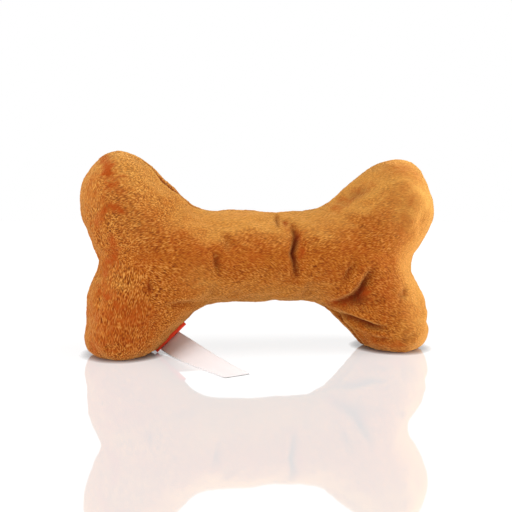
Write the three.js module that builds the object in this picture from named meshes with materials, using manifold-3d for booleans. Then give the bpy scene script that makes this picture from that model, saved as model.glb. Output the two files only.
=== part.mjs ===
// Squeaky plush bone for a dog, in millimetres, +Z up, standing on its two lower lobes.
// Two plush panels are sewn face to face round one bone-shaped outline, turned, stuffed
// with wads of fibre round a bellows squeaker, and closed by hand on the upper left slope.
import * as THREE from 'three';
import { mergeVertices } from 'three/addons/utils/BufferGeometryUtils.js';
import Module from 'manifold-3d';

const wasm = await Module();
wasm.setup();

// The sewn outline.
const LENGTH = 200; // over the upper lobes
const SPINE_Z = 53.3; // height of the shaft's middle over the floor
const SHAFT_HALF = 25.3; // half the shaft's height
const UPPER_R = 24.4; // radius of an upper lobe
const LOWER_R = 20.2; // radius of a lower lobe
const UPPER_RISE = 31; // upper lobe centre over the spine
const LOWER_DROP = 40; // lower lobe centre under the spine
const LOWER_INSET = 3; // the lower lobes stand this much further in
const SLOPE = THREE.MathUtils.degToRad(44); // slope from the shaft up to a lobe
const FILLET_R = 24; // hollow between shaft and slope
const NOTCH_DEPTH = 11.6; // dip between the two lobes of an end
const NOTCH_R = 3;

// The stuffed thickness, front to back, as half values on the crest of the form.
const SHAFT_HALF_Y = 24.2;
const JOIN_HALF_Y = 27;
const UPPER_HALF_Y = 27;
const LOWER_HALF_Y = 26.6;

// Plush, seam and thread.
const COVER_T = 3; // backing cloth and pile together
const CLOTH_T = 1; // backing cloth of the turned-in edge
const ALLOWANCE = 7; // width of the turned-in edge
const SEAM_GAP = 0.3;
const FIT = 0.4; // between stuffing and cover, and between wads
const STITCH_IN = 4; // machine stitch line from the fold
const THREAD_D = 0.6;
const OPENING = 22; // left open for stuffing, then sewn by hand
const HAND_STITCHES = 8;

// Labels in the seam of the lower left slope.
const TAB_LENGTH = 22;
const TAB_REACH = 2.2; // out of the seam
const TAPE_T = 0.4;
const CARE_WIDTH = 14;
const CARE_LENGTH = 73.2;
const CARE_T = 0.5;
const FLOOR_GAP = 0.15; // under the care label
const ROOT_IN = 2.2; // label end caught in the seam
const LABEL_SWING = 0.7; // room in the seam for the labels to swing
const CARE_BEND = 3.4; // beyond the tab's edge, where the label turns down
const CARE_FORWARD = 4.5; // how far it comes forward in that turn
const LABEL_HEADING = new THREE.Vector3(0.44, -0.898, 0).normalize();

// Squeaker, its axis along Y through the middle of the shaft.
const SQUEAKER_R = 15;
const SQUEAKER_DEPTH = 20;
const WALL = 0.9;
const FOLDS = 3;
const BARREL_R = 4;
const BARREL_BORE = 2.6;
const BARREL_LENGTH = 9.2;
const BARREL_RIM = 2.5; // flange beyond the barrel
const CLAMP_LENGTH = 4; // of the reed's root
const REED_T = 0.3;
const REED_W = 3.2;
const PART_GAP = 0.3;

// Lines along which the front panel is drawn in: ends from the middle of the shaft, depth, reach.
const CREASES = [
  { from: [15.2, -13], to: [15.2, 15], depth: 3.2, reach: 6.5 }, // across the shaft
  { from: [38, -26], to: [56, -7], depth: 2.4, reach: 7 }, // under the right arm
  { from: [43, -31], to: [66, -38.5], depth: 2, reach: 6 }, // over the right foot
];

const RINGS = 5;
const SHAFT_STEPS = 6;
const SLOPE_STEPS = 4;
const LOBE_STEPS = 10;
const ROUND = 28;

const SQUEAKER_FRONT = -SQUEAKER_DEPTH / 2;
const SQUEAKER_BACK = SQUEAKER_DEPTH / 2;
const UPPER_X = LENGTH / 2 - UPPER_R;
const LOWER_X = LENGTH / 2 - LOWER_INSET - LOWER_R;
const NOTCH_X = LENGTH / 2 - NOTCH_DEPTH;
const JOIN_X = UPPER_X - 0.95 * UPPER_RISE;
const LOBES = {
  upper: { x: UPPER_X, z: UPPER_RISE, r: UPPER_R, side: 1, half: UPPER_HALF_Y },
  lower: { x: LOWER_X, z: LOWER_DROP, r: LOWER_R, side: -1, half: LOWER_HALF_Y },
};

const at = (c, r, a) => new THREE.Vector2(c.x + r * Math.cos(a), c.y + r * Math.sin(a));

// Where the straight slope of a lobe begins and ends, for a quarter drawn with +z outward.
function slopeEnds(lobe, inset) {
  const n = new THREE.Vector2(-Math.sin(SLOPE), Math.cos(SLOPE));
  const centre = new THREE.Vector2(lobe.x, lobe.z);
  const filletZ = SHAFT_HALF + FILLET_R;
  const filletX = (n.dot(centre) + lobe.r + FILLET_R - n.y * filletZ) / n.x;
  const fillet = new THREE.Vector2(filletX, filletZ);
  const start = fillet.clone().addScaledVector(n, -(FILLET_R + inset));
  const end = centre.clone().addScaledVector(n, lobe.r - inset);
  return { n, centre, fillet, start, end };
}

// One quarter of the outline moved in by inset, with the crest point under each sample.
function quarter(lobe, inset) {
  const { n, centre, fillet, start, end } = slopeEnds(lobe, inset);
  const r = lobe.r - inset;
  const shaft = new THREE.Path();
  shaft.moveTo(0, SHAFT_HALF - inset);
  shaft.lineTo(fillet.x, SHAFT_HALF - inset);
  const bend = Math.atan2(-n.y, -n.x);
  shaft.absarc(fillet.x, fillet.y, FILLET_R + inset, -Math.PI / 2, bend, false);

  const notch = new THREE.Vector2(NOTCH_X + NOTCH_R, 0);
  const away = notch.clone().sub(centre);
  const lean = Math.acos((r + NOTCH_R + inset) / away.length());
  const leave = away.angle() - 2 * Math.PI + lean;
  const side = new THREE.Path();
  const meet = at(notch, NOTCH_R + inset, leave + Math.PI);
  side.moveTo(...at(centre, r, leave).toArray());
  side.lineTo(meet.x, meet.y);
  side.absarc(notch.x, notch.y, NOTCH_R + inset, leave + Math.PI, Math.PI, false);

  const samples = [];
  const add = (p, crest, half) => {
    samples.push({
      x: p.x, z: p.y * lobe.side, cx: crest.x, cz: crest.y * lobe.side, half: half - inset,
    });
  };
  const join = new THREE.Vector2(JOIN_X, 0);
  const ease = (u) => u * u * (3 - 2 * u);
  shaft.getSpacedPoints(SHAFT_STEPS).slice(0, -1).forEach((p, i) => {
    const u = i / SHAFT_STEPS;
    const half = THREE.MathUtils.lerp(SHAFT_HALF_Y, JOIN_HALF_Y, ease(u));
    add(p, new THREE.Vector2(JOIN_X * u, 0), half);
  });
  const branch = (u) => THREE.MathUtils.lerp(JOIN_HALF_Y, lobe.half, ease(u));
  for (let i = 0; i < SLOPE_STEPS; i += 1) {
    const u = i / SLOPE_STEPS;
    add(start.clone().lerp(end, u), join.clone().lerp(centre, u), branch(u));
  }
  const from = n.angle();
  for (let i = 0; i < LOBE_STEPS; i += 1) {
    add(at(centre, r, from + ((leave - from) * i) / LOBE_STEPS), centre, lobe.half);
  }
  side.getSpacedPoints(SLOPE_STEPS).forEach((p, i) => {
    const u = 1 - i / SLOPE_STEPS;
    add(p, join.clone().lerp(centre, u), branch(u));
  });
  return samples;
}

// The whole outline, once round from the top middle, each point with its crest point.
function outline(inset) {
  const up = quarter(LOBES.upper, inset);
  const down = quarter(LOBES.lower, inset);
  const flip = (s) => ({ ...s, x: -s.x, cx: -s.cx });
  const right = [...up, ...down.slice(0, -1).reverse()];
  const left = [...down.slice(1).map(flip), ...up.slice(1, -1).reverse().map(flip)];
  return [...right, ...left];
}

function solid(positions, index) {
  const g = new THREE.BufferGeometry();
  g.setAttribute('position', new THREE.Float32BufferAttribute(positions, 3));
  if (index) g.setIndex(index);
  return toManifold(g);
}

function toManifold(geometry) {
  const bare = new THREE.BufferGeometry();
  bare.setAttribute('position', geometry.getAttribute('position'));
  if (geometry.index) bare.setIndex(geometry.index);
  const g = mergeVertices(bare, 1e-4);
  const p = g.getAttribute('position');
  const a = new THREE.Vector3();
  const b = new THREE.Vector3();
  const c = new THREE.Vector3();
  const tris = [];
  let volume = 0;
  for (let i = 0; i < g.index.count; i += 3) {
    const [ia, ib, ic] = [g.index.getX(i), g.index.getX(i + 1), g.index.getX(i + 2)];
    if (ia === ib || ib === ic || ic === ia) continue;
    volume += a.fromBufferAttribute(p, ia).dot(
      b.fromBufferAttribute(p, ib).cross(c.fromBufferAttribute(p, ic)));
    tris.push([ia, ib, ic]);
  }
  const turned = volume < 0 ? tris.map(([i, j, k]) => [i, k, j]) : tris;
  return new wasm.Manifold(new wasm.Mesh({
    numProp: 3,
    vertProperties: new Float32Array(p.array),
    triVerts: new Uint32Array(turned.flat()),
  }));
}

function toGeometry(manifold) {
  const m = manifold.getMesh();
  const g = new THREE.BufferGeometry();
  const xyz = new Float32Array(m.numVert * 3);
  for (let i = 0; i < m.numVert; i += 1) {
    xyz.set(m.vertProperties.subarray(i * m.numProp, i * m.numProp + 3), i * 3);
  }
  g.setAttribute('position', new THREE.BufferAttribute(xyz, 3));
  g.setIndex(new THREE.BufferAttribute(new Uint32Array(m.triVerts), 1));
  g.computeVertexNormals();
  return g;
}

// How far the creases draw the front panel in at a place on it.
function drawnIn(x, z, side) {
  if (side > 0) return 0;
  const p = new THREE.Vector2(x, z);
  return Math.max(0, ...CREASES.map(({ from, to, depth, reach }) => {
    const a = new THREE.Vector2(...from);
    const line = new THREE.Vector2(...to).sub(a);
    const along = p.clone().sub(a).dot(line) / line.lengthSq();
    const foot = a.addScaledVector(line, THREE.MathUtils.clamp(along, 0, 1));
    return depth * Math.max(0, 1 - p.distanceTo(foot) / reach);
  }));
}

// Stuffed form: from the outline to its crest on a quarter ellipse, on one side of y0 or both.
function pillow(inset, y0, sides) {
  const rim = outline(inset);
  const count = rim.length;
  const positions = [];
  const index = [];
  const point = (s, turn, height) => {
    const x = s.x + (s.cx - s.x) * turn;
    const z = s.z + (s.cz - s.z) * turn;
    positions.push(x, height(s, x, z), SPINE_Z + z);
  };
  const rows = (heights) => {
    const first = positions.length / 3;
    heights.forEach(([turn, height]) => rim.forEach((s) => point(s, turn, height)));
    return first;
  };
  const skin = (first, rings, flip) => {
    for (let k = 0; k < rings; k += 1) {
      for (let i = 0; i < count; i += 1) {
        const j = (i + 1) % count;
        const [a, b] = [first + k * count + i, first + k * count + j];
        const [c, d] = [a + count, b + count];
        index.push(...(flip ? [a, c, b, b, c, d] : [a, b, c, b, d, c]));
      }
    }
  };
  sides.forEach((side) => {
    const heights = [];
    for (let k = 0; k <= RINGS; k += 1) {
      const phi = (Math.PI / 2) * (k / RINGS);
      const lift = Math.sin(phi);
      const height = (s, x, z) => side * (y0 + (s.half - y0 - drawnIn(x, z, side)) * lift);
      heights.push([1 - Math.cos(phi), height]);
    }
    skin(rows(heights), RINGS, side > 0);
  });
  if (sides.length === 1) {
    const flat = () => sides[0] * y0;
    skin(rows([[0, flat], [1, flat]]), 1, sides[0] < 0);
  }
  return solid(positions, index);
}

function block(x0, x1, y0, y1, z0, z1) {
  const g = new THREE.BoxGeometry(x1 - x0, y1 - y0, z1 - z0);
  g.translate((x0 + x1) / 2, (y0 + y1) / 2, (z0 + z1) / 2);
  return toManifold(g);
}

const FAR = 2 * LENGTH;
const above = (z) => block(-FAR, FAR, -FAR, FAR, z, FAR);

// A slab of the outline between two depths, kept off the floor by its own inset.
function slab(inset, y0, y1) {
  const shape = new THREE.Shape(outline(inset).map((s) => new THREE.Vector2(s.x, s.z)));
  const g = new THREE.ExtrudeGeometry(shape, { depth: y1 - y0, bevelEnabled: false });
  g.rotateX(Math.PI / 2);
  g.translate(0, y1, SPINE_Z);
  return toManifold(g).intersect(above(inset));
}

const band = (outer, inner, y0, y1) => slab(outer, y0, y1).subtract(slab(inner, y0 - 1, y1 + 1));

// A seat on the straight slope of a left lobe: x along the seam, z into the form.
function seatFrame(lobe, share) {
  const { n, start, end } = slopeEnds(lobe, 0);
  const p = start.clone().lerp(end, share);
  const out = new THREE.Vector3(-n.x, 0, n.y * lobe.side);
  const inward = out.clone().negate();
  const y = new THREE.Vector3(0, 1, 0);
  const along = y.clone().cross(inward);
  const origin = new THREE.Vector3(-p.x, 0, SPINE_Z + p.y * lobe.side);
  const m = new THREE.Matrix4().makeBasis(along, y, inward).setPosition(origin);
  return { m, out, along, origin };
}

const closingSeat = seatFrame(LOBES.upper, 0.48);
const labelSeat = seatFrame(LOBES.lower, 0.52);

function seatBlock(seat, length, y0, y1, outward, inward) {
  const g = new THREE.BoxGeometry(length, y1 - y0, outward + inward);
  g.translate(0, (y0 + y1) / 2, (inward - outward) / 2);
  g.applyMatrix4(seat.m);
  return toManifold(g);
}

// Labels: the folded tab in front, the care label behind it, both in one relief in the seam.
const TAB_FRONT = -(2 * TAPE_T + PART_GAP) - 0.05;
const TAB_BACK = -0.05;
const CARE_Y = TAB_BACK + PART_GAP + CARE_T / 2;
const relief = seatBlock(
  labelSeat, TAB_LENGTH + 2 * FIT,
  TAB_FRONT - LABEL_SWING, CARE_Y + CARE_T / 2 + LABEL_SWING, 3, ALLOWANCE + 1);

// Panels of plush with the edge turned in.
function cover(side) {
  const y0 = SEAM_GAP / 2;
  const outer = pillow(0, y0, [side]).intersect(above(0));
  const inner = pillow(COVER_T, y0 - 0.05, [side]).intersect(above(COVER_T));
  const [a, b] = side < 0 ? [-y0 - CLOTH_T, -y0] : [y0, y0 + CLOTH_T];
  const edge = band(COVER_T / 2, ALLOWANCE, a, b);
  return outer.subtract(inner).add(edge).subtract(relief);
}

// Machine thread on the inner face of each turned-in edge, broken at the stuffing opening.
function machineThread(side) {
  const y = SEAM_GAP / 2 + CLOTH_T + PART_GAP;
  const [a, b] = side < 0 ? [-y - THREAD_D, -y] : [y, y + THREAD_D];
  const gap = seatBlock(closingSeat, OPENING, -ALLOWANCE, ALLOWANCE, 0, 2 * ALLOWANCE);
  return band(STITCH_IN, STITCH_IN + THREAD_D, a, b).subtract(gap);
}

// Hand thread laced to and fro over the closed opening.
function handThread() {
  const lift = THREAD_D / 2 + PART_GAP + 0.1;
  const points = [];
  for (let i = 0; i <= HAND_STITCHES; i += 1) {
    const x = OPENING * (i / HAND_STITCHES - 0.5);
    points.push(new THREE.Vector3(x, i % 2 ? 1.1 : -1.1, -lift));
  }
  const path = new THREE.CatmullRomCurve3(points, false, 'centripetal');
  const ring = new THREE.Shape().absarc(0, 0, THREAD_D / 2, 0, 2 * Math.PI, false);
  const g = new THREE.ExtrudeGeometry(ring, {
    steps: 5 * HAND_STITCHES, curveSegments: 3, extrudePath: path, bevelEnabled: false,
  });
  g.applyMatrix4(closingSeat.m);
  return toManifold(g);
}

// Short woven tab folded double, its cut ends in the seam.
function redTab() {
  const s = new THREE.Shape();
  const bend = (TAB_BACK - TAB_FRONT) / 2;
  const mid = (TAB_BACK + TAB_FRONT) / 2;
  s.moveTo(TAB_FRONT, ROOT_IN);
  s.lineTo(TAB_FRONT, -TAB_REACH + bend);
  s.absarc(mid, -TAB_REACH + bend, bend, Math.PI, 2 * Math.PI, false);
  s.lineTo(TAB_BACK, ROOT_IN);
  s.lineTo(TAB_BACK - TAPE_T, ROOT_IN);
  s.lineTo(TAB_BACK - TAPE_T, -TAB_REACH + bend);
  s.absarc(mid, -TAB_REACH + bend, bend - TAPE_T, 0, -Math.PI, true);
  s.lineTo(TAB_FRONT + TAPE_T, ROOT_IN);
  const g = new THREE.ExtrudeGeometry(s, {
    depth: TAB_LENGTH, curveSegments: 6, bevelEnabled: false,
  });
  g.translate(0, 0, -TAB_LENGTH / 2);
  g.applyMatrix4(new THREE.Matrix4().makeBasis(
    new THREE.Vector3(0, 1, 0), new THREE.Vector3(0, 0, 1), new THREE.Vector3(1, 0, 0)));
  g.applyMatrix4(labelSeat.m);
  return toManifold(g);
}

// Care label: out of the seam, over the tab's edge and down on to the floor.
function careLabel() {
  const { origin, out, along } = labelSeat;
  const flat = new THREE.Vector3(-LABEL_HEADING.y, LABEL_HEADING.x, 0);
  const run = CARE_LENGTH - TAB_REACH - 2;
  const near = (n, y) => origin.clone().addScaledVector(out, n).setY(y);
  const cross = (u) => along.clone().lerp(flat, u).normalize();
  const onFloor = (share, u) => {
    const p = origin.clone().addScaledVector(LABEL_HEADING, run * share);
    p.z = CARE_T / 2 + FLOOR_GAP + (CARE_WIDTH / 2) * cross(u).z;
    return p;
  };
  const stations = [
    [near(-ROOT_IN, CARE_Y), cross(0)],
    [near(0, CARE_Y), cross(0)],
    [near(TAB_REACH + 0.8, CARE_Y - 0.05), cross(0)],
    [near(TAB_REACH + CARE_BEND, CARE_Y - CARE_FORWARD), cross(0.12)],
    [onFloor(0.36, 0.62), cross(0.62)],
    [onFloor(0.66, 0.95), cross(0.95)],
    [onFloor(1, 1), cross(1)],
  ];
  const middle = new THREE.CatmullRomCurve3(stations.map((s) => s[0]), false, 'centripetal');
  const span = new THREE.CatmullRomCurve3(stations.map((s) => s[1]), false, 'centripetal');
  const steps = 4 * (stations.length - 1);
  const positions = [];
  for (let i = 0; i <= steps; i += 1) {
    const c = middle.getPoint(i / steps);
    const u = span.getPoint(i / steps).normalize();
    const face = u.clone().cross(middle.getTangent(i / steps)).normalize();
    const corners = [[-1, -1], [1, -1], [1, 1], [-1, 1]].map(([a, b]) => {
      const p = c.clone().addScaledVector(u, (a * CARE_WIDTH) / 2);
      return p.addScaledVector(face, (b * CARE_T) / 2);
    });
    const lift = Math.max(0, FLOOR_GAP - Math.min(...corners.map((p) => p.z)));
    corners.forEach((p) => positions.push(p.x, p.y, p.z + lift));
  }
  const index = [0, 2, 1, 0, 3, 2];
  for (let i = 0; i < steps; i += 1) {
    for (let k = 0; k < 4; k += 1) {
      const a = 4 * i + k;
      const b = 4 * i + ((k + 1) % 4);
      // Both faces of the tape are split along the same diagonal, so its thickness holds in the twist.
      index.push(...(k === 2 ? [a, b, a + 4, b, b + 4, a + 4] : [a, b, b + 4, a, b + 4, a + 4]));
    }
  }
  const e = 4 * steps;
  index.push(e, e + 1, e + 2, e, e + 2, e + 3);
  return solid(positions, index);
}

// Squeaker pieces turned about the axis, then laid along +Y.
function turned(profile, segments) {
  const closed = [...profile, profile[0]].map(([r, y]) => new THREE.Vector2(r, y));
  const g = new THREE.LatheGeometry(closed, segments);
  g.translate(0, 0, SPINE_Z);
  return toManifold(g);
}

const rod = (r, y0, y1) => turned([[0, y0], [r, y0], [r, y1], [0, y1]], ROUND);

const FACE_T = 1.2;
const BASE_T = 2.2;
const baseInner = SQUEAKER_BACK - BASE_T;
const faceInner = SQUEAKER_FRONT + FACE_T;
const bellowsFront = faceInner + PART_GAP;
const bellowsBack = baseInner - PART_GAP;

function bellows() {
  const outer = [];
  const inner = [];
  const deep = 3.2;
  for (let i = 0; i <= 2 * FOLDS; i += 1) {
    const y = bellowsFront + ((bellowsBack - bellowsFront) * i) / (2 * FOLDS);
    const r = i % 2 ? SQUEAKER_R - deep : SQUEAKER_R;
    outer.push([r, y]);
    inner.push([r - 2 * WALL, y]);
  }
  return turned([...outer, ...inner.reverse()], ROUND);
}

function squeakerFace() {
  const r = SQUEAKER_R - 1;
  return turned([
    [0, SQUEAKER_FRONT - 0.6], [0.55 * r, SQUEAKER_FRONT - 0.4], [0.9 * r, SQUEAKER_FRONT],
    [r, SQUEAKER_FRONT + 0.4], [r, faceInner], [0, faceInner],
  ], ROUND);
}

const FLANGE_R = BARREL_R + BARREL_RIM;
const flangeIn = SQUEAKER_BACK + PART_GAP;
const flangeOut = flangeIn + 1;
const barrelTip = SQUEAKER_BACK - BARREL_LENGTH;
const clampIn = SQUEAKER_BACK - CLAMP_LENGTH;

function squeakerBase() {
  const bore = BARREL_R + PART_GAP;
  const r = SQUEAKER_R - 0.5;
  return turned([
    [bore, baseInner], [r, baseInner], [r, SQUEAKER_BACK - 0.5],
    [r - 0.5, SQUEAKER_BACK], [bore, SQUEAKER_BACK],
  ], ROUND);
}

const reedClear = REED_T / 2 + PART_GAP;

// Whistle barrel with a half-round trough under the reed.
function whistleBody() {
  const open = clampIn - 1;
  const barrel = turned([
    [BARREL_BORE, open], [BARREL_R, open], [BARREL_R, flangeIn], [FLANGE_R, flangeIn],
    [FLANGE_R, flangeOut], [BARREL_BORE, flangeOut],
  ], ROUND);
  const half = block(reedClear, FAR, -FAR, FAR, -FAR, FAR);
  const trough = rod(BARREL_BORE + 0.2, barrelTip, flangeOut).intersect(half);
  const channel = block(
    reedClear - 1, reedClear + 1.2, barrelTip - 1, clampIn - 0.5, SPINE_Z - 0.9, SPINE_Z + 0.9);
  const outlet = rod(0.7, clampIn - 2, flangeOut + 1).translate([reedClear + 0.5, 0, 0]);
  return barrel.add(trough).subtract(channel).subtract(outlet);
}

function whistleWedge() {
  const half = block(-FAR, -reedClear, -FAR, FAR, -FAR, FAR);
  return rod(BARREL_BORE - PART_GAP, clampIn, flangeOut - 0.2).intersect(half);
}

function whistleReed() {
  return block(
    -REED_T / 2, REED_T / 2, barrelTip + 0.5, flangeIn, SPINE_Z - REED_W / 2, SPINE_Z + REED_W / 2);
}

// Stuffing: one fill cut into the wads it is packed as.
const FILL_IN = COVER_T + FIT;
const slit = SEAM_GAP / 2 + CLOTH_T + PART_GAP + THREAD_D + PART_GAP;
const fill = pillow(FILL_IN, 0, [-1, 1])
  .intersect(above(FILL_IN))
  .subtract(band(COVER_T - 1, ALLOWANCE + FIT, -slit, slit));
const WAD_X = 0.95 * JOIN_X;
const pocket = (clear, y0, y1) => rod(SQUEAKER_R + clear, y0, y1);

function lobeWad(x, z) {
  const xs = x < 0 ? [-FAR, -WAD_X - FIT / 2] : [WAD_X + FIT / 2, FAR];
  const zs = z < 0 ? [-FAR, SPINE_Z - FIT / 2] : [SPINE_Z + FIT / 2, FAR];
  return fill.intersect(block(...xs, -FAR, FAR, ...zs));
}

function shaftWad() {
  const middle = block(-WAD_X + FIT / 2, WAD_X - FIT / 2, -FAR, FAR, -FAR, FAR);
  return fill.intersect(middle).subtract(pocket(2 * FIT, -FAR, FAR));
}

const frontPad = () => fill.intersect(pocket(FIT, -FAR, SQUEAKER_FRONT - 0.6 - PART_GAP));
const backPad = () => fill
  .intersect(pocket(FIT, SQUEAKER_BACK + PART_GAP, FAR))
  .subtract(rod(FLANGE_R + FIT, 0, flangeOut + FIT));

const PLUSH = { color: 0xb9752f, roughness: 0.95, metalness: 0 };
const FIBRE = { color: 0xf0ede6, roughness: 1, metalness: 0 };
const THREAD = { color: 0xa5642a, roughness: 0.7, metalness: 0 };
const POLY = { color: 0xe8ece9, roughness: 0.4, metalness: 0 };

const parts = [
  ['front_cover', cover(-1), PLUSH],
  ['back_cover', cover(1), PLUSH],
  ['needle_thread', machineThread(-1), THREAD],
  ['bobbin_thread', machineThread(1), THREAD],
  ['closing_thread', handThread(), THREAD],
  ['red_tab', redTab(), { color: 0xc8281c, roughness: 0.6, metalness: 0 }],
  ['care_label', careLabel(), { color: 0xf4f2f0, roughness: 0.5, metalness: 0 }],
  ['stuffing_upper_left', lobeWad(-1, 1), FIBRE],
  ['stuffing_lower_left', lobeWad(-1, -1), FIBRE],
  ['stuffing_upper_right', lobeWad(1, 1), FIBRE],
  ['stuffing_lower_right', lobeWad(1, -1), FIBRE],
  ['stuffing_shaft', shaftWad(), FIBRE],
  ['stuffing_front_pad', frontPad(), FIBRE],
  ['stuffing_back_pad', backPad(), FIBRE],
  ['squeaker_bellows', bellows(), POLY],
  ['squeaker_face', squeakerFace(), POLY],
  ['squeaker_base', squeakerBase(), POLY],
  ['whistle_body', whistleBody(), { color: 0xd7dde2, roughness: 0.35, metalness: 0 }],
  ['whistle_reed', whistleReed(), { color: 0xb9c4cc, roughness: 0.3, metalness: 0 }],
  ['whistle_wedge', whistleWedge(), { color: 0xd7dde2, roughness: 0.35, metalness: 0 }],
];

const toy = new THREE.Group();
toy.name = 'squeaky_dog_toy';
const box = new THREE.Box3();
for (const [name, body, look] of parts) {
  const mesh = new THREE.Mesh(toGeometry(body), new THREE.MeshStandardMaterial(look));
  mesh.name = name;
  toy.add(mesh);
  box.expandByObject(mesh);
}
// The origin is under the middle of the whole box, label included.
const shift = box.getCenter(new THREE.Vector3());
toy.children.forEach((mesh) => mesh.geometry.translate(-shift.x, -shift.y, -box.min.z));

export default toy;
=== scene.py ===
# %% [markdown]
# # A squeaky plush bone
# The toy is two panels of short-pile plush sewn round their outline, turned right side out and
# packed with polyester fibre round a squeaker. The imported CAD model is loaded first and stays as
# it is: it says where every piece sits, and each soft piece made here takes the place of its solid.

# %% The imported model
import math
import bmesh
import bpy
import numpy as np
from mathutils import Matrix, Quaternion, Vector
from mathutils.bvhtree import BVHTree


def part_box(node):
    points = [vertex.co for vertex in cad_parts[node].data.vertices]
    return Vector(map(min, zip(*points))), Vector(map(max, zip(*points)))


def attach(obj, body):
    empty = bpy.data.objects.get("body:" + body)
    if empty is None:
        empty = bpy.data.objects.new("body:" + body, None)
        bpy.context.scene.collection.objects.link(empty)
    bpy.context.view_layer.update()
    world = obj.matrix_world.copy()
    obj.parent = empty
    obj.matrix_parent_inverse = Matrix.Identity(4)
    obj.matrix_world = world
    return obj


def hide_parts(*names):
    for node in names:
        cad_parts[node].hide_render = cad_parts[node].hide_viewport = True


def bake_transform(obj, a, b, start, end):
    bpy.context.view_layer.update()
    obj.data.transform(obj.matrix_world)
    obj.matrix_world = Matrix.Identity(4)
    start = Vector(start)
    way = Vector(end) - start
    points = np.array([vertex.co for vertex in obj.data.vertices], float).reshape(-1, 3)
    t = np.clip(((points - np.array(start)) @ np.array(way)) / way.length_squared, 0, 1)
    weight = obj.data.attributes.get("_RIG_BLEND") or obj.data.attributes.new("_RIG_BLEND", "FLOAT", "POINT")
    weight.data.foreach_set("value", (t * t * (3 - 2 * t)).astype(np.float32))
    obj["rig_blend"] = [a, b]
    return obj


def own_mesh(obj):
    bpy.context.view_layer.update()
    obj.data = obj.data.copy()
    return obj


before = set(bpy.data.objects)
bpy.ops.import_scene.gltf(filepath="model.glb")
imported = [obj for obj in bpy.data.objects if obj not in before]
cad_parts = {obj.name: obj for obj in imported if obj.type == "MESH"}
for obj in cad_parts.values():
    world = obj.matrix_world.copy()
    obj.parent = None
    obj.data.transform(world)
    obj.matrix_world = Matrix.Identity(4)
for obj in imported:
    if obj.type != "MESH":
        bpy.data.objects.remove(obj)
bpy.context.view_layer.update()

scene = bpy.context.scene
MM = 0.001
SEAM_Y = (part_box("front_cover")[1].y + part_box("back_cover")[0].y) / 2 / MM
print("seam plane at y =", round(SEAM_Y, 2), "mm;", len(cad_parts), "nodes")

# %% [markdown]
# ## The camera
# The photograph is taken from a little above the floor with the left end of the bone turned
# nearer. The outline of the CAD panels was laid over the photograph to find the turn, the
# distance and the lens, so the camera is written down as those three numbers.

# %% Camera
PHOTO = 512
TURN, RISE, ROLL = math.radians(9.44), math.radians(4.0), math.radians(0.33)
AWAY, FOCAL_PX, CENTRE_PX = 404.8 * MM, 719.8, (260.75, 255.58)
look_at = Vector((0, SEAM_Y * MM, 53.3 * MM))
back = Vector((-math.sin(TURN) * math.cos(RISE), -math.cos(TURN) * math.cos(RISE), math.sin(RISE)))
camera = bpy.data.objects.new("camera", bpy.data.cameras.new("camera"))
scene.collection.objects.link(camera)
camera.data.sensor_width = 36
camera.data.lens = 36 * FOCAL_PX / PHOTO
camera.data.shift_x = (PHOTO / 2 - CENTRE_PX[0]) / PHOTO
camera.data.shift_y = (CENTRE_PX[1] - PHOTO / 2) / PHOTO
camera.data.clip_start = 0.01
camera.location = look_at + back * AWAY
camera.rotation_mode = "QUATERNION"
camera.rotation_quaternion = back.to_track_quat("Z", "Y") @ Quaternion((0, 0, 1), ROLL)
scene.camera = camera
print("camera at", [round(c, 3) for c in camera.location], "lens", round(camera.data.lens, 1), "mm")

# %% [markdown]
# ## Colours and nodes
# Colours are written as they look on a screen, as hex values, and turned to the linear values that
# Blender's shaders use. One small function adds a node, sets its values and links its sockets.

# %% Helpers for materials
def ink(code):
    parts = [int(code[i:i + 2], 16) / 255 for i in (1, 3, 5)]
    return [c / 12.92 if c <= 0.04045 else ((c + 0.055) / 1.055) ** 2.4 for c in parts] + [1.0]


def add(tree, kind, **settings):
    node = tree.nodes.new("ShaderNode" + kind)
    wires = settings.pop("wires", {})
    for name, value in settings.items():
        setattr(node, name, value)
    for name, value in wires.items():
        if isinstance(value, bpy.types.NodeSocket):
            tree.links.new(value, node.inputs[name])
        else:
            node.inputs[name].default_value = value
    return node


def new_finish(name):
    finish = bpy.data.materials.new(name)
    finish.use_nodes = True
    finish.node_tree.nodes.clear()
    return finish, finish.node_tree


print("helpers for colours, nodes and finishes")

# %% [markdown]
# ## Floor and light
# The floor is white acrylic: a white body under a polished face, so the bone is mirrored in it
# faintly. For the camera the floor and the world are drawn at white, and the lamps stay at a plain
# level, so the plush keeps the colour that is written for it. The white is held back close to the
# feet, where a real floor gets no light, which leaves the thin dark line the bone stands on. Two large
# softboxes at the sides, one above and a weak card in front give the soft, nearly shadowless light.

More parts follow.
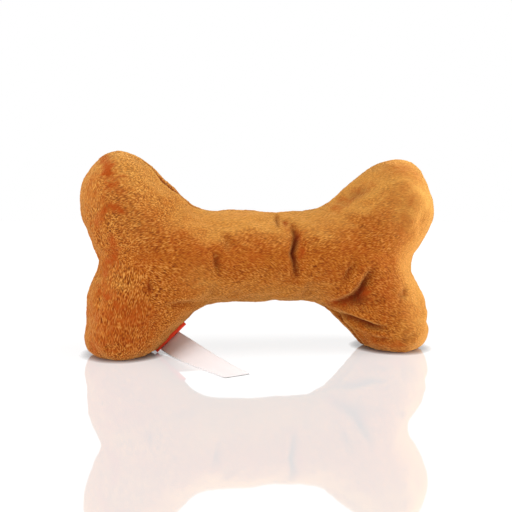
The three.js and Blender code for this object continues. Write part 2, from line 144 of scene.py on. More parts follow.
# %% Floor
def white_acrylic():
    # gives the eye a clean white ground with a faint mirror image of the bone
    finish, tree = new_finish("white_acrylic")
    path = add(tree, "LightPath")
    tone = add(tree, "Mix", data_type="RGBA",
               wires={0: path.outputs["Is Camera Ray"], 6: ink("#F0F0F0"), 7: ink("#8A8A8A")})
    body = add(tree, "BsdfDiffuse", wires={"Color": tone.outputs[2]})
    lift = add(tree, "Emission", wires={"Color": ink("#FFFFFF")})
    where = add(tree, "TexCoord")
    reach = add(tree, "VectorMath", operation="LENGTH", wires={0: where.outputs["Object"]})
    level = add(tree, "MapRange", wires={"Value": reach.outputs["Value"], "From Min": 0.15,
                                         "From Max": 0.9, "To Min": 0.80, "To Max": 1.1})
    near = add(tree, "AmbientOcclusion", samples=8, wires={"Distance": 0.006})
    shut = add(tree, "Math", operation="POWER", wires={0: near.outputs["AO"], 1: 2.0})
    open_sky = add(tree, "Math", operation="MULTIPLY", wires={0: shut.outputs[0], 1: level.outputs[0]})
    seen = add(tree, "Math", operation="MULTIPLY",
               wires={0: path.outputs["Is Camera Ray"], 1: open_sky.outputs[0]})
    tree.links.new(seen.outputs[0], lift.inputs["Strength"])
    lit = add(tree, "AddShader", wires={0: body.outputs[0], 1: lift.outputs[0]})
    face = add(tree, "BsdfGlossy", wires={"Roughness": 0.04, "Color": ink("#FFFFFF")})
    both = add(tree, "MixShader", wires={0: 0.34, 1: lit.outputs[0], 2: face.outputs[0]})
    add(tree, "OutputMaterial", wires={"Surface": both.outputs[0]})
    return finish


FLOOR_HALF = 3.0
bm = bmesh.new()
bmesh.ops.create_grid(bm, x_segments=1, y_segments=1, size=FLOOR_HALF)
floor_mesh = bpy.data.meshes.new("floor")
bm.to_mesh(floor_mesh)
bm.free()
floor = bpy.data.objects.new("floor", floor_mesh)
scene.collection.objects.link(floor)
floor.data.materials.append(white_acrylic())
print("white floor,", 2 * FLOOR_HALF, "m wide")

# %% World
world = bpy.data.worlds.new("studio")
scene.world = world
world.use_nodes = True
sky = world.node_tree
sky.nodes.clear()
path = add(sky, "LightPath")
seen = add(sky, "Math", operation="MAXIMUM",
           wires={0: path.outputs["Is Camera Ray"], 1: path.outputs["Is Glossy Ray"]})
clear = add(sky, "Math", operation="MAXIMUM",
            wires={0: seen.outputs[0], 1: path.outputs["Is Transmission Ray"]})
strength = add(sky, "MapRange", wires={"Value": clear.outputs[0], "To Min": 0.20, "To Max": 1.0})
glow = add(sky, "Background", wires={"Color": ink("#FFFFFF"), "Strength": strength.outputs[0]})
add(sky, "OutputWorld", wires={"Surface": glow.outputs[0]})
print("world: white to the eye, 0.20 for light")


# %% Softboxes
def softbox(name, place, size, watts):
    lamp = bpy.data.lights.new(name, "AREA")
    lamp.shape, lamp.size, lamp.size_y, lamp.energy = "RECTANGLE", size[0], size[1], watts
    box = bpy.data.objects.new(name, lamp)
    scene.collection.objects.link(box)
    box.location = place
    box.rotation_mode = "QUATERNION"
    box.rotation_quaternion = (Vector(place) - look_at).to_track_quat("Z", "Y")


softbox("top_softbox", (-0.05, -0.12, 0.70), (0.7, 0.5), 2.8)
softbox("left_softbox", (-0.72, -0.22, 0.38), (0.5, 0.5), 3.4)
softbox("right_softbox", (0.60, -0.08, 0.26), (0.4, 0.4), 4.2)
softbox("front_card", (-0.30, -0.50, 0.10), (0.4, 0.2), 0.35)
scene.view_settings.view_transform = "Standard"
print("three softboxes and a card")

# %% [markdown]
# ## The stuffed skin
# A sewn toy takes its form from flat panels that the filling pushes out. The outer faces of the two
# CAD panels are copied, joined along the seam and remeshed evenly; then Blender's Cloth blows the
# skin up from the inside, as stuffing does, with the sewn edge held. It could be sculpted by hand
# instead, but the simulation gives the tight, slightly uneven swell of packed fibre.

# %% Outer faces of the two panels
def outer_faces(node):
    bm = bmesh.new()
    bm.from_mesh(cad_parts[node].data)
    bmesh.ops.remove_doubles(bm, verts=bm.verts, dist=0.01 * MM)
    # the walk starts at the crown and stops where the panel turns in at its edge
    crown = max(bm.faces, key=lambda f: abs(f.calc_center_median().y - SEAM_Y * MM))
    keep, edge_of_walk = {crown}, [crown]
    while edge_of_walk:
        face = edge_of_walk.pop()
        for edge in face.edges:
            for other in edge.link_faces:
                if other not in keep and other.normal.angle(face.normal, 3.0) < math.radians(40):
                    keep.add(other)
                    edge_of_walk.append(other)
    for face in bm.faces:
        if face.normal.z < -0.98 and face.calc_center_median().z < 0.01 * MM:
            keep.add(face)
    bmesh.ops.delete(bm, geom=[f for f in bm.faces if f not in keep], context="FACES")
    return bm


def put(bm, name):
    mesh = bpy.data.meshes.new(name)
    bm.to_mesh(mesh)
    bm.free()
    piece = bpy.data.objects.new(name, mesh)
    scene.collection.objects.link(piece)
    return piece


def settle(piece):
    deps = bpy.context.evaluated_depsgraph_get()
    mesh = bpy.data.meshes.new_from_object(piece.evaluated_get(deps))
    piece.modifiers.clear()
    piece.data = mesh


bm = outer_faces("front_cover")
other = outer_faces("back_cover")
half = bpy.data.meshes.new("half")
other.to_mesh(half)
other.free()
bm.from_mesh(half)
bpy.data.meshes.remove(half)
bmesh.ops.remove_doubles(bm, verts=bm.verts, dist=0.5 * MM)
bmesh.ops.holes_fill(bm, edges=[e for e in bm.edges if e.is_boundary], sides=0)
bmesh.ops.triangulate(bm, faces=[f for f in bm.faces if len(f.verts) > 4])
bmesh.ops.recalc_face_normals(bm, faces=bm.faces)
print("skin:", len(bm.faces), "faces,", sum(e.is_boundary for e in bm.edges), "open edges")
skin = put(bm, "plush_skin")
even = skin.modifiers.new("even", "REMESH")
even.mode, even.voxel_size = "VOXEL", 4.4 * MM
settle(skin)
print("remeshed:", len(skin.data.polygons), "faces")


# %% Mesh arrays
def points(mesh):
    co = np.empty(len(mesh.vertices) * 3)
    mesh.vertices.foreach_get("co", co)
    return co.reshape(-1, 3) / MM


def normals(mesh):
    no = np.empty(len(mesh.vertices) * 3)
    mesh.vertex_normals.foreach_get("vector", no)
    return no.reshape(-1, 3)


def move_to(mesh, co):
    mesh.vertices.foreach_set("co", (co * MM).ravel())
    mesh.update()


print("points and normals are read in mm")

# %% Blow the skin up
# mm that the skin is drawn in at first, that it may swell, and that it lies over the CAD panels
SLACK, CAP, COVER = 1.2, 2.0, 0.4
FRAMES = 20
sewn_flat = points(skin.data)
move_to(skin.data, sewn_flat - SLACK * normals(skin.data))
sewn = skin.vertex_groups.new(name="sewn")
held = np.nonzero((np.abs(sewn_flat[:, 1] - SEAM_Y) < 2.5) | (sewn_flat[:, 2] < 1.0))[0]
sewn.add([int(i) for i in held], 1.0, "REPLACE")
stuffing = skin.modifiers.new("stuffing", "CLOTH").settings
stuffing.mass = 0.0002
stuffing.tension_stiffness = stuffing.compression_stiffness = stuffing.shear_stiffness = 0.3
stuffing.bending_stiffness = 0.005
stuffing.shrink_min = -0.02
stuffing.use_pressure = True
stuffing.uniform_pressure_force = 4
stuffing.effector_weights.gravity = 0
stuffing.vertex_group_mass = "sewn"
for step in range(1, FRAMES + 1):
    scene.frame_set(step)
blown = points(skin.evaluated_get(bpy.context.evaluated_depsgraph_get()).data)
skin.modifiers.clear()
skin.vertex_groups.clear()
scene.frame_set(1)
shift = blown - points(skin.data)
far = np.linalg.norm(shift, axis=1, keepdims=True)
move_to(skin.data, points(skin.data) + shift * np.minimum(1, CAP / np.maximum(far, 1e-9)))
print("blown up", round(float(far.mean()), 2), "mm on average,", round(float(far.max()), 2), "at most")
move_to(skin.data, points(skin.data) + (SLACK + COVER) * normals(skin.data))
fine = skin.modifiers.new("fine", "SUBSURF")
fine.levels = fine.render_levels = 3
settle(skin)
print("fine skin:", len(skin.data.polygons), "faces, box",
      points(skin.data).min(0).round(1), points(skin.data).max(0).round(1))

# %% [markdown]
# ## The outline as it was stuffed
# No two hand-stuffed toys are alike: one lobe is packed fuller than the next. Each push below moves
# the skin round one place on the outline (x, z) by a little (dx, dz), as a thumb would.

# %% Pushes
OUTLINE_PUSHES = [  # x, z, dx, dz
    (-89.2, 44.6, 1.91, 0.2), (-93.6, 32.1, -3.67, 0.49), (-96.4, 19.6, 2.68, -0.17),
    (-96.5, 6.4, -1.21, -0.15), (-38.3, 21.8, -0.1, -0.08), (-23.8, 28.2, 0.05, 0.27),
    (-7.4, 28.6, 0.03, 0.35), (6.3, 28.9, 0, -0.13), (20.2, 28.1, -0.22, 0.62), (57.8, 3.6, 0.09, 0.03),
    (45.1, 15.5, 0.42, 0.55), (34.9, 25.6, 0.48, 0.34), (98.2, 3.1, 0.53, -0.9), (99.1, 16.8, -0.49, 0.63),
    (95.7, 30.5, 3.03, -0.09), (91.1, 44, -4.41, 0.2), (91.4, 58.1, 2.43, -0.73), (100.8, 75, 1.01, -0.27),
    (101, 94.1, -2.3, -0.48), (86.1, 107.2, 0.34, -0.09), (33.1, 79.9, 0.42, -0.29),
    (44.6, 89.6, -0.04, -0.36), (66.2, 107.5, 0.25, -1.86), (55.1, 99.3, 1.46, -0.77),
    (18, 78.7, -0.14, -0.34), (4.8, 78.6, 0.18, -1.87), (-8.8, 79.1, -0.23, 0.7), (-22.2, 78.5, 0.4, -0.49),
    (-54.6, 98.5, -1.51, -1.46), (-65.9, 107.5, 0.21, -0.7), (-45.4, 89.4, -0.6, -0.33),
    (-35, 80.6, -0.66, -1.31), (-79.7, 108.9, -0.18, 1.76), (-93.9, 101.2, 0.22, -1.29),
    (-99.8, 86.7, 1.9, 0.22), (-96.9, 71.7, 0.44, 0.34), (-90.2, 58.2, -1.37, -0.6),
]
REACH = 13.0
co = points(skin.data)
packed = co.copy()
for x, z, dx, dz in OUTLINE_PUSHES:
    near = np.exp(-((packed[:, 0] - x) ** 2 + (packed[:, 2] - z) ** 2) / REACH ** 2)
    co[:, 0] += dx * near
    co[:, 2] += dz * near
co[:, 2] = np.maximum(co[:, 2], 0.05)  # stays on the floor
move_to(skin.data, co)
print(len(OUTLINE_PUSHES), "pushes on the outline")

# %% [markdown]
# ## Seam, creases and dimples
# Where thread or a fold pulls the plush in, the skin is pressed in and the shade there is painted as a dark line.
# Each crease is a line over one panel with a depth and a width; the skin is pressed in along it and
# a painted shade that fades with the same distance is kept as a value on the mesh, which the finish later uses to
# darken the pile.

# %% Distance to a line
def to_line(co, line):
    best, share = np.full(len(co), 1e9), np.zeros(len(co))
    spans = [math.dist(a, b) for a, b in zip(line, line[1:])] or [1.0]
    done = 0.0
    for a, b, span in zip(line, line[1:] or line, spans):
        a, b = np.array(a), np.array(b)
        t = np.clip((co[:, [0, 2]] - a) @ (b - a) / max(span ** 2, 1e-9), 0, 1)
        d = np.hypot(co[:, 0] - a[0] - t * (b - a)[0], co[:, 2] - a[1] - t * (b - a)[1])
        closer = d < best
        best[closer] = d[closer]
        share[closer] = ((done + t * span) / sum(spans))[closer]
        done += span
    return best, share


print("a line gives each point its distance and its share along the line")

# %% Creases
# the last column is the painted shade that each crease gets
CREASES = {  # line of (x, z) in mm, depth, half width, darkening
    "shaft crease": ([(14.2, 72.7), (14.6, 69.6), (16.0, 64.8), (14.4, 59.7), (13.2, 55.9), (14.6, 50.9),
                      (15.6, 45.5), (16.2, 41.2)], 2.2, 1.6, 0.95),
    "hooked fold": ([(8.5, 77), (7.4, 74.7), (6.6, 72.0), (6.9, 69)], 1.2, 1.0, 0.45),
    "dimple by the fold": ([(10.8, 71.9)], 0.9, 1.6, 0.35),
    "left dimple": ([(-28.6, 57), (-27.7, 51.8), (-27.0, 46)], 1.5, 1.8, 0.5),
    "left dimple tail": ([(-28.7, 40), (-28.3, 31)], 0.7, 2.0, 0.25),
    "upper dimple": ([(-22.0, 67), (-22.0, 62.1), (-22.4, 57)], 0.8, 2.0, 0.3),
    "right tail": ([(23.1, 41), (23.7, 31)], 0.7, 2.2, 0.2),
    "armpit fold": ([(37.5, 26.5), (43.6, 29.3), (48.5, 32.8), (51.7, 38.7), (54.6, 44.3), (57, 48.5)],
                    2.4, 2.2, 0.9),
    "armpit ridge": ([(36, 29), (42, 33.5), (46.5, 37.5), (49.5, 43), (53, 49)], -1.3, 2.2, 0.0),
    "armpit ripple": ([(41.0, 39), (44.3, 46.9), (47.8, 54)], 1.3, 2.2, 0.3),
    "armpit shade": ([(43, 28), (50, 30), (55, 34)], 0.9, 3.2, 0.7),
    "foot fold": ([(40.5, 22.5), (46.4, 19.8), (50.7, 18.2), (58.8, 15.3), (67.5, 14.4)], 2.6, 1.4, 1.0),
    "cheek dent": ([(76.6, 38.5), (75.8, 33.2), (70.5, 31.2)], 1.1, 1.9, 0.35),
    "cheek ripple": ([(54.5, 29), (64, 31)], 0.9, 2.0, 0.25),
    "toe ripple": ([(58, 9.4), (63, 7.9), (70, 8.4)], 1.0, 1.3, 0.4),
    "toe ripple right": ([(73.3, 7.5), (84.5, 11.2)], 0.8, 1.6, 0.2),
    "edge nick": ([(93.5, 16.6)], 1.3, 2.2, 0.2),
    "upper right dent": ([(45.1, 83.6), (49, 86.4), (53.6, 89.7), (58.1, 93.1)], 1.2, 2.0, 0.4),
    "upper right nick": ([(44.7, 83.6)], 0.7, 2.4, 0.2),
    "small dimple": ([(-62.2, 43), (-62, 36)], 1.3, 1.4, 0.45),
    "upper left hollow": ([(-55, 78.6), (-44, 77.6)], 1.5, 6.0, 0.0),
    "lower left hollow": ([(-56, 28.6), (-46, 29.6), (-36, 29.2)], 1.3, 1.8, 0.3),
}
BACK_CREASES = {  # the same for the back panel
    "back crease": ([(-7, 73), (-6, 66), (-7.5, 58), (-6.5, 51)], 1.5, 1.8, 0.5),
    "back armpit": ([(-37, 27), (-44, 30), (-50, 35), (-53, 42)], 1.8, 2.2, 0.5),
    "back armpit right": ([(38, 27), (45, 29.5), (52, 35)], 1.6, 2.2, 0.45),
    "back neck": ([(42, 84), (48, 79), (51, 72)], 1.3, 2.4, 0.3),
    "back dimple": ([(24, 58), (25, 50)], 1.1, 2.0, 0.3),
}
DEEPEST, LIP_SHARE = 4.4, 0.22  # mm, and how much of its depth a crease raises beside itself
print(len(CREASES), "creases on the front panel,", len(BACK_CREASES), "on the back panel")

# %% Press the creases in
co, no = points(skin.data), normals(skin.data)
front = np.clip((SEAM_Y - 1 - co[:, 1]) / 3, 0, 1)
rear = np.clip((co[:, 1] - SEAM_Y - 1) / 3, 0, 1)
sink, painted_shade = np.zeros(len(co)), np.zeros(len(co))
for panel, creases in ((front, CREASES), (rear, BACK_CREASES)):
    for line, depth, width, shade in creases.values():
        d, share = to_line(co, line)
        fade = np.sin(np.pi * np.clip(share, 0.02, 0.98)) ** 0.7 if len(line) > 1 else 1.0
        fall = np.exp(-(d / width) ** 2) * fade * panel
        lip = np.exp(-((d - 2.3 * width) / width) ** 2) * fade * panel
        sink = np.minimum(sink + depth * fall, DEEPEST) - LIP_SHARE * depth * lip
        # painted shade: darker along each crease, where shade falls in it
        painted_shade = np.maximum(painted_shade, shade * np.exp(-(d / (1.1 * width)) ** 2) * fade * panel)
move_to(skin.data, co - no * sink[:, None])
print(len(CREASES) + len(BACK_CREASES), "creases and dimples, deepest", round(float(sink.max()), 1), "mm")


# %% The seam
SEAM_DEPTH, SEAM_LIP = 1.5, 0.5  # mm


def seam_forward(co):
    # where the panels were sewn askew the seam comes towards the front, in mm
    upper_left = np.exp(-((co[:, 0] + 51) / 19) ** 2) * (co[:, 2] > 70)
    lower_right = np.exp(-((co[:, 0] - 50) / 13) ** 2) * (co[:, 2] < 36)
    return 7.0 * upper_left + 6.5 * lower_right


co, no = points(skin.data), normals(skin.data)
rim = np.clip(np.hypot(no[:, 0], no[:, 2]) * 1.6 - 0.6, 0, 1) * (co[:, 2] > 2)
across = co[:, 1] - (SEAM_Y - seam_forward(co))
groove = np.exp(-(across / 1.0) ** 2) * rim
bolster = np.exp(-((np.abs(across) - 3.0) / 2.0) ** 2) * rim
move_to(skin.data, co + no * (SEAM_LIP * bolster - SEAM_DEPTH * groove)[:, None])
# painted shade along the seam groove
painted_shade = np.maximum(painted_shade, 0.95 * np.exp(-(across / 0.9) ** 2) * rim)
print("seam drawn in by", SEAM_DEPTH, "mm round the outline")

# %% [markdown]
# ## The pile
# Short-pile plush is cut fibre about 3 mm long that leans one way, the nap. Real hair would be lost
# in the exported model, so the pile is modelled in the surface: a random value on every point is
# combed along the nap, which turns it into short streaks, and the streaks lift and sink the skin.

# %% Neighbours on the skin
co, no = points(skin.data), normals(skin.data)
loops = np.empty(len(skin.data.loops), dtype=np.int64)
skin.data.loops.foreach_get("vertex_index", loops)
quads = loops.reshape(-1, 4)
pairs = np.vstack([quads[:, [0, 1]], quads[:, [1, 2]], quads[:, [2, 3]], quads[:, [3, 0]],
                   quads[:, [0, 2]], quads[:, [1, 3]]])
one, two = np.vstack([pairs, pairs[:, ::-1]]).T
step = co[two] - co[one]
step /= np.maximum(np.linalg.norm(step, axis=1, keepdims=True), 1e-9)


def ease(value, low, high):
    t = np.clip((value - low) / (high - low), 0, 1)
    return t * t * (3 - 2 * t)


rng = np.random.default_rng(7)


def blur(value, weight, rounds):
    total = np.maximum(np.bincount(one, weight, len(co)), 1e-9)
    for _ in range(rounds):
        value = 0.4 * value + 0.6 * np.bincount(one, weight * value[two], len(co)) / total
    return value


def level(value):
    return (value - value.mean()) / value.std()


print(len(one), "pairs of neighbours")

# %% Comb the nap
# degrees from level: the upper half leans one way and the lower half the other, more at the left end
upper = ease(co[:, 2], 46, 62)
tilt = upper * (17 + 55 * ease(-co[:, 0], 70, 96)) - (1 - upper) * (20 + 64 * ease(-co[:, 0], 48, 78))
tilt += (-30 - tilt) * ease(co[:, 0], 62, 96)
ruffle = rng.normal(size=len(co))
tilt = np.radians(tilt + 12 * ease(-co[:, 0], 20, 70) * level(blur(ruffle, np.ones(len(one)), 80)))
nap = np.stack([np.cos(tilt), np.zeros_like(tilt), np.sin(tilt)], 1)
nap -= no * np.sum(nap * no, axis=1, keepdims=True)
nap /= np.maximum(np.linalg.norm(nap, axis=1, keepdims=True), 1e-6)
along = np.abs(np.sum(step * nap[one], axis=1)) ** 24
streak = level(blur(rng.normal(size=len(co)), along, 1))
clump = level(blur(rng.normal(size=len(co)), np.ones(len(one)), 12))
brush_and_shade = level(blur(rng.normal(size=len(co)), np.ones(len(one)), 260))
STREAK_LIFT, CLUMP_LIFT = 0.065, 0.015  # mm
pile = np.clip(streak, -2.5, 2.5) * STREAK_LIFT + np.clip(clump, -2, 2) * CLUMP_LIFT
move_to(skin.data, co + no * (pile * np.clip((co[:, 2] - 0.4) / 2, 0, 1))[:, None])
print("pile combed on", len(co), "points")

# %% [markdown]
# ## What the pile shows
# The plush is painted paler where it faces the lamps, and it is red-brown where a hand has stroked it the
# wrong way, so the finish needs more than one colour. Every point of the skin gets a few values: how
# far it lies in a fold as painted shade, how much it is brushed along with painted shade, its painted light and
# which way its strokes run. They could be painted by hand; here they follow from the form, with a short list of
# brush marks and spots of painted light and shade added.

# %% Brush marks and painted shade
# brush marks of reddish pile; the marks in the armpit, beside the shaft crease and the dimples and along the right
# foot paint shade
BRUSH_AND_SHADE_MARKS = [  # line of (x, z) in mm, reach, strength
    ([(-84.9, 105.3), (-83.5, 100.2), (-81, 94.1), (-80.5, 90)], 4.2, 0.9),
    ([(-93.7, 89), (-91.7, 83.8)], 4, 0.5),
    ([(-88, 72.5), (-85, 77.6), (-81.9, 80.7), (-77.9, 80.2), (-74.4, 77.7)], 2.6, 0.85),
    ([(-81.2, 63.2), (-80.2, 57), (-82.3, 51.8)], 3.2, 0.9), ([(-87.1, 48.3), (-84.5, 45.2)], 4, 0.7),
    ([(-85.9, 39.8), (-88, 34.7), (-83.5, 33.5), (-80.4, 35.1)], 3, 0.85),
    ([(-91.9, 29), (-90.9, 25.2), (-88.4, 22)], 3.2, 0.7),
    ([(-79.3, 31.4), (-77.3, 28.3), (-74.7, 29.2)], 2.6, 0.65), ([(-94.4, 9.8), (-91.3, 4.8)], 3, 0.5),
    ([(-62.9, 40.7), (-61.9, 36.6)], 1.8, 1.0), ([(-46, 57)], 5, 0.35), ([(10.8, 71.9)], 2.5, 0.7),
    ([(17.4, 64.2), (19, 58.9), (17.5, 54)], 2.6, 0.7), ([(-27.6, 52)], 3.5, 0.7),
    ([(39.4, 80.3), (49, 86.4), (58.1, 93.1)], 2.6, 0.45),
    ([(39.9, 28.4), (45, 29.9), (49.5, 32.1), (53.4, 36.4)], 3.4, 0.9), ([(57, 31)], 4, 0.5),
    ([(58, 6), (72, 5)], 6, 0.55),
    ([(74, 104.4), (81.7, 100.6), (87.7, 93.4)], 5, 0.3),
]
mottle = level(blur(rng.normal(size=len(co)), 0.1 + along, 8))
# brushed pile, with painted shade on faces turned to the front and back and less on faces turned to the sides
brushed_and_shaded = 0.28 * ease(np.abs(no[:, 1]), 0.7, 1.0) + 0.55 * ease(-co[:, 0], 78, 98)
brushed_and_shaded *= 1 - 0.55 * ease(np.abs(no[:, 0]), 0.7, 0.97)
brushed_and_shaded += 0.25 * ease(-co[:, 0], 45, 70) * ease(-co[:, 2], -40, -24)
for line, reach, strength in BRUSH_AND_SHADE_MARKS:
    away = to_line(co, line)[0] * np.exp(0.25 * mottle) / reach
    brushed_and_shaded = np.maximum(brushed_and_shaded, strength * np.exp(-away ** 2) * front)
brushed_and_shaded *= np.clip(0.9 + 0.25 * clump + 0.2 * streak, 0, 2)
print(len(BRUSH_AND_SHADE_MARKS), "brush marks")

# %% Painted light and shade spots
# spots of painted light; a strength below zero paints shade
PAINTED_LIGHT_SPOTS = [  # x, z in mm, reach, strength; below zero it is less pale
    (-37, 42, 9, 0.5), (-50, 86, 12, -0.35), (-70, 106, 11, -0.4), (-68, 70, 12, 0.35), (2, 31, 10, 0.3),
    (76, 82, 15, 0.6), (80, 48, 10, 0.4), (79, 102, 11, -0.7), (50, 84, 9, 0.3),
]
# painted light: paler on faces turned up, on higher parts, on the shaft's faces turned down and towards the right
# end
painted_light = np.clip(ease(no[:, 2], 0.1, 0.95) + 0.4 * ease(co[:, 2], 62, 92), 0, 1)
painted_light += 0.3 * ease(-no[:, 2], 0.15, 0.8) * (1 - ease(np.abs(co[:, 0]), 28, 46))
painted_light += 1.2 * ease(co[:, 0], 62, 96)
for x, z, reach, strength in PAINTED_LIGHT_SPOTS:
    painted_light += strength * np.exp(-((co[:, 0] - x) ** 2 + (co[:, 2] - z) ** 2) / reach ** 2) * front
# painted highlight along the seam's front lip
painted_light += 0.7 * np.exp(-((across + 2.6) / 1.3) ** 2) * rim  # the seam's front lip catches the light
painted_light = np.maximum(painted_light, 0)
print(len(PAINTED_LIGHT_SPOTS), "pale spots")

# %% Values on the skin
side = ease(np.abs(np.degrees(tilt)), 46, 58)
depth = (0.66 + 0.4 * ease(-co[:, 0], 40, 78)) * (1 - 0.45 * ease(np.abs(no[:, 0]), 0.6, 0.95))
for name, value in (("streak", streak), ("fold", painted_shade), ("brush_and_shade", brushed_and_shaded + 0.06 * brush_and_shade), ("painted_lit", painted_light),
                    ("up", upper * (1 - ease(co[:, 0], 62, 96))), ("side", side), ("depth", depth)):
    skin.data.attributes.new(name, "FLOAT", "POINT").data.foreach_set("value", value.astype(np.float32))
print(len(skin.data.attributes), "attributes on the skin")

# %% [markdown]
# ## The plush
# The colour comes from thin strokes of dark and light along the nap, three directions of the same
# stretched noise that are mixed by the values on the skin. The velvet look is a strong sheen over a
# darker, redder body: the rim turns pale and golden and the face stays deep.

# %% Plush finish
STROKE = (1.8 * MM, 0.6 * MM, 0.48 * MM)  # along the nap, into the pile, across the nap


def short_pile_plush():
    # gives the eye soft caramel pile with a golden rim and dark partings
    # fibre is 0.02 mm thick and lies in tufts of 0.2 mm; the strokes are drawn at 0.48 mm, coarser
    # than they are, so that they still show in a picture of the whole bone
    finish, tree = new_finish("short_pile_plush")
    streak = add(tree, "Attribute", attribute_name="streak")
    fold = add(tree, "Attribute", attribute_name="fold")
    brush_and_shade = add(tree, "Attribute", attribute_name="brush_and_shade")
    where = add(tree, "TexCoord")
    strokes = []
    for lean in (-24, 17, 85):
        turned = add(tree, "Mapping", vector_type="TEXTURE", wires={
            "Vector": where.outputs["Object"], "Rotation": (0, -math.radians(lean), 0), "Scale": STROKE})
        strokes.append(add(tree, "TexNoise", wires={
            "Vector": turned.outputs[0], "Scale": 1.0, "Detail": 0.0}))
    up = add(tree, "Attribute", attribute_name="up")
    side = add(tree, "Attribute", attribute_name="side")
    mid = add(tree, "Mix", data_type="FLOAT", wires={
        0: up.outputs["Fac"], 2: strokes[0].outputs["Fac"], 3: strokes[1].outputs["Fac"]})
    tips = add(tree, "Mix", data_type="FLOAT", wires={
        0: side.outputs["Fac"], 2: mid.outputs[0], 3: strokes[2].outputs["Fac"]})
    tuft = add(tree, "MapRange", wires={"Value": tips.outputs[0], "From Min": 0.28, "From Max": 0.72,
                                        "To Min": -2.1, "To Max": 2.1})
    stand = add(tree, "Math", operation="MULTIPLY_ADD",
                wires={0: streak.outputs["Fac"], 1: 0.2, 2: tuft.outputs[0]})
    depth = add(tree, "Attribute", attribute_name="depth")
    parted = add(tree, "Math", operation="MULTIPLY", wires={0: stand.outputs[0], 1: depth.outputs["Fac"]})
    fibre = add(tree, "MapRange", wires={"Value": parted.outputs[0], "From Min": -1.9, "From Max": 1.9})
    tone = add(tree, "ValToRGB", wires={"Fac": fibre.outputs[0]})
    tone.color_ramp.elements[0].color = ink("#602407")
    tone.color_ramp.elements[1].color = ink("#D8964A")
    for spot, colour in ((0.38, "#A05214"), (0.65, "#B86C20")):
        tone.color_ramp.elements.new(spot).color = ink(colour)
    # painted light: the value from the skin lifts the colour towards pale gold on tops, edges and spots
    painted_lit = add(tree, "Attribute", attribute_name="painted_lit")
    pale = add(tree, "Math", operation="MULTIPLY", wires={0: painted_lit.outputs["Fac"], 1: 0.42})
    painted_lit_tone = add(tree, "Mix", data_type="RGBA",
                  wires={0: pale.outputs[0], 6: tone.outputs["Color"], 7: ink("#DCA450")})
    # brushed pile and painted shade turn the colour red-brown
    brushed_and_shaded_tone = add(tree, "Mix", data_type="RGBA", clamp_factor=True,
               wires={0: brush_and_shade.outputs["Fac"], 6: painted_lit_tone.outputs[2], 7: ink("#A6460C")})
    # painted shade: creases and the seam turn dark red-brown
    crease_shaded_tone = add(tree, "Mix", data_type="RGBA", clamp_factor=True,
               wires={0: fold.outputs["Fac"], 6: brushed_and_shaded_tone.outputs[2], 7: ink("#5A1400")})
    nub = add(tree, "Bump", wires={"Height": tips.outputs[0], "Strength": 0.9, "Distance": 0.4 * MM})
    body = add(tree, "BsdfPrincipled", wires={
        "Base Color": crease_shaded_tone.outputs[2], "Normal": nub.outputs[0], "Roughness": 0.9,
        "Specular IOR Level": 0.1, "Sheen Weight": 1.0, "Sheen Roughness": 0.4,
        "Sheen Tint": ink("#FFC070")})
    add(tree, "OutputMaterial", wires={"Surface": body.outputs[0]})
    return finish


skin.data.materials.clear()
skin.data.materials.append(short_pile_plush())
skin.data.shade_smooth()
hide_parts("front_cover", "back_cover")
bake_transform(skin, "back_half", "front_half", start=(0, SEAM_Y * MM, 53.3 * MM), end=(0, -4 * MM, 53.3 * MM))
print("plush skin,", len(skin.data.polygons), "faces")

# %% [markdown]
# ## The two labels
# A red woven tab and a white satin care label are caught in the seam on the lower left slope. Both
# are ribbons folded double, so each starts as a flat grid that is laid along a folded path and then
# given the thickness of its cloth. Both are bare.

# %% Ribbons
# the seam at the labels: its middle, the way along it and the way out of it, in mm
SEAT = np.array([-51.586, SEAM_Y, 9.565])
ALONG = np.array([0.71934, 0, 0.69466])
OUT = np.array([0.69466, 0, -0.71934])
# mm: a ribbon's mesh, its flat size and thickness, and where it is caught inside the seam
GRID = 0.7
CARE_SIZE, CARE_THICK = (14, 148), 0.12
TAB_SIZE, TAB_THICK = (22, 10), 0.36
ROOT = -2.2


def ribbon(name, width, length, thick, lay):
    bm = bmesh.new()
    across, down = max(8, round(width / GRID)), max(8, round(length / GRID))
    bmesh.ops.create_grid(bm, x_segments=across, y_segments=down, size=0.5)
    weave = bm.loops.layers.uv.new("weave")
    for face in bm.faces:
        for corner in face.loops:
            corner[weave].uv = ((corner.vert.co.x + 0.5) * width, (corner.vert.co.y + 0.5) * length)
    for vert in bm.verts:
        vert.co = Vector(lay(vert.co.x * width, vert.co.y + 0.5)) * MM
    piece = put(bm, name)
    cloth = piece.modifiers.new("cloth", "SOLIDIFY")
    cloth.thickness, cloth.offset = thick * MM, 0
    settle(piece)
    piece.data.shade_smooth()
    return piece


def through(stations, t):
    t *= len(stations) - 1
    i = min(int(t), len(stations) - 2)
    f = t - i
    # a smooth curve through the stations, by the four nearest
    a, b, c, d = (stations[min(max(i + k, 0), len(stations) - 1)] for k in (-1, 0, 1, 2))
    return b + f * ((c - a) / 2 + f * (a - 2.5 * b + 2 * c - d / 2 + f * (1.5 * (b - c) + (d - a) / 2)))


print("ribbons are laid out on a grid of", GRID, "mm")

# %% Care label
# down from the seam, over the bend and along the floor towards the front
FLOOR_WAY = np.array([0.44, -0.898, 0])
FLAT = np.array([0.898, 0.44, 0])


def seam_spot(n, y):
    return SEAT + OUT * n + np.array([0, y, 0])


def floor_spot(run, lift):
    spot = SEAT + FLOOR_WAY * run
    return np.array([spot[0], spot[1], lift])


